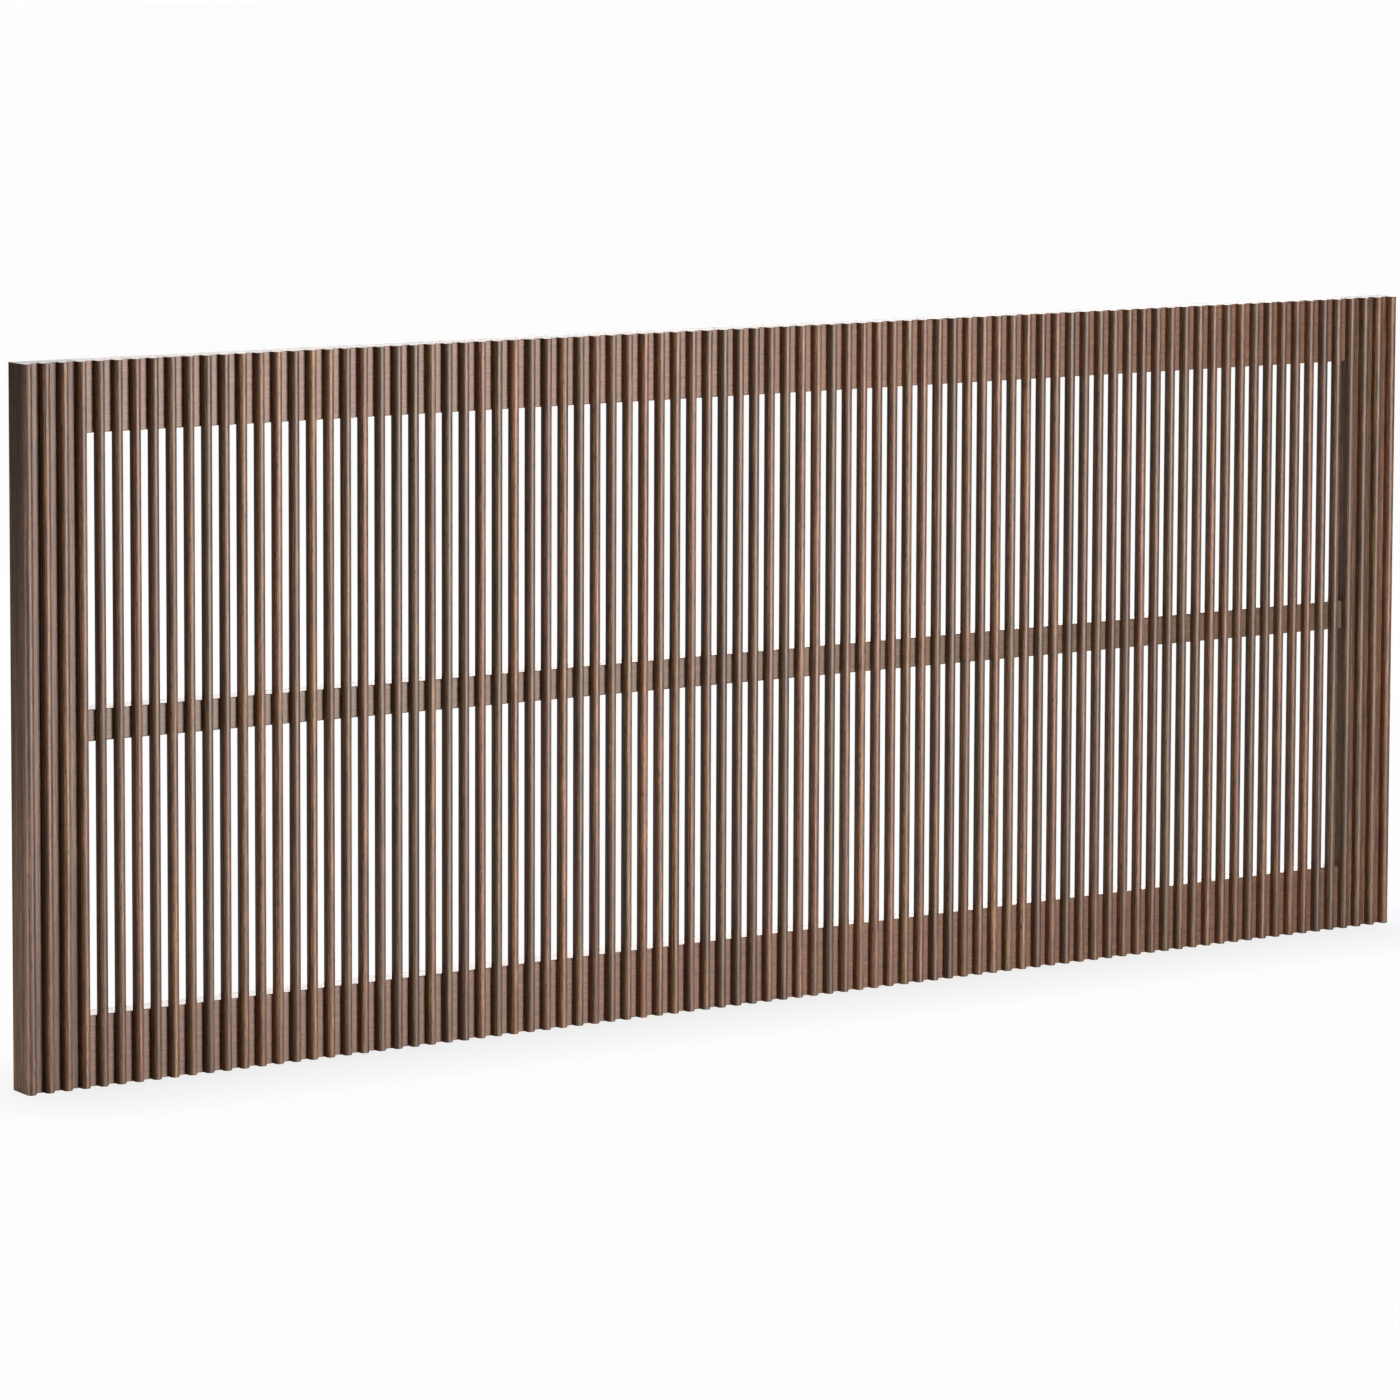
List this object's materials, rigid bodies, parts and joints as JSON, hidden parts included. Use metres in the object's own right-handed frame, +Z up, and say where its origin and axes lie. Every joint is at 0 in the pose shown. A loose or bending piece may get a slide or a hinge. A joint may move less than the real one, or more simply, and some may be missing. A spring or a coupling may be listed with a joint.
{
  "type": "slatted headboard",
  "caption": "Flat wooden headboard panel: round-nosed upright slats, evenly spaced, glued to the front of a dowelled frame with three rails, with threaded inserts in its back.",
  "frame": {"origin": "middle of the bottom of the whole panel, half way through its thickness", "axes": "+X along the width to the right as seen from the front, +Y from the slats towards the wall, +Z up"},
  "size_m": [1.75, 0.037, 0.73],
  "materials": {
    "slat_timber": "brown walnut stain with a thin matt lacquer, grain upright",
    "frame_timber": "brown walnut stain with a thin matt lacquer, grain along each piece",
    "beech_dowel": "bare turned beech",
    "insert_steel": "turned steel, zinc plated"
  },
  "bodies": {
    "root": {"bottom_rail": "frame_timber", "bottom_rail_dowels": "beech_dowel", "left_stile": "frame_timber", "middle_rail": "frame_timber", "middle_rail_dowels": "beech_dowel", "right_stile": "frame_timber", "slats_01_02": "slat_timber", "slats_03_04": "slat_timber", "slats_05_06": "slat_timber", "slats_07_08": "slat_timber", "slats_09_10": "slat_timber", "slats_11_12": "slat_timber", "slats_13_14": "slat_timber", "slats_15_16": "slat_timber", "slats_17_18": "slat_timber", "slats_19_20": "slat_timber", "slats_21_22": "slat_timber", "slats_23_24": "slat_timber", "slats_25_26": "slat_timber", "slats_27_28": "slat_timber", "slats_29_30": "slat_timber", "slats_31_32": "slat_timber", "slats_33_34": "slat_timber", "slats_35_36": "slat_timber", "slats_37_38": "slat_timber", "slats_39_40": "slat_timber", "slats_41_42": "slat_timber", "slats_43_44": "slat_timber", "slats_45_46": "slat_timber", "slats_47_48": "slat_timber", "slats_49_50": "slat_timber", "slats_51_52": "slat_timber", "slats_53_54": "slat_timber", "slats_55_56": "slat_timber", "slats_57_58": "slat_timber", "slats_59_60": "slat_timber", "slats_61_62": "slat_timber", "slats_63_64": "slat_timber", "slats_65_66": "slat_timber", "slats_67_68": "slat_timber", "slats_69_70": "slat_timber", "slats_71_72": "slat_timber", "slats_73_74": "slat_timber", "slats_75_76": "slat_timber", "slats_77_78": "slat_timber", "slats_79_80": "slat_timber", "slats_81_82": "slat_timber", "slats_83_84": "slat_timber", "slats_85_86": "slat_timber", "slats_87_88": "slat_timber", "threaded_inserts": "insert_steel", "top_rail": "frame_timber", "top_rail_dowels": "beech_dowel"}
  },
  "joints": []
}
